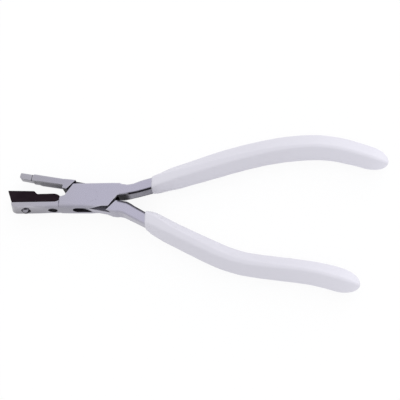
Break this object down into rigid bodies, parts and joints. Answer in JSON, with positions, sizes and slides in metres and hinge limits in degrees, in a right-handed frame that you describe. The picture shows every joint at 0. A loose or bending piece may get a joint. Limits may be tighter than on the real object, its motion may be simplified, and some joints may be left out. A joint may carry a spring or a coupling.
{
  "type": "crimping pliers",
  "caption": "Small box-joint crimping pliers with a stepped dark pad on the lower jaw, a narrow stepped bar as upper jaw and white dipped grips.",
  "frame": {"origin": "on the pivot axis, at the flat underside of the box joint (the flush end of the rivet)", "axes": "+X from the pivot towards the handles, +Y towards the upper handle and upper jaw, +Z through the thickness, up as the tool lies flat"},
  "size_m": [0.1508, 0.0647, 0.009],
  "materials": {
    "polished_steel": "satin polish",
    "screw_steel": "turned, polished",
    "dark_pad": "dark brown-black, satin",
    "white_grip": "smooth dipped vinyl, soft sheen"
  },
  "bodies": {
    "fixed": {"fixed_half": "polished_steel", "pivot_rivet": "polished_steel", "jaw_pad": "dark_pad", "front_pad_screw": "screw_steel", "rear_pad_screw": "screw_steel", "upper_grip": "white_grip"},
    "moving": {"moving_half": "polished_steel", "lower_grip": "white_grip"}
  },
  "joints": [
    {"name": "jaw_hinge", "type": "hinge", "parent": "fixed", "child": "moving", "pos_m": [0, 0, 0.0036], "axis": [0, 0, 1], "range_deg": [-12, 10.4]}
  ]
}
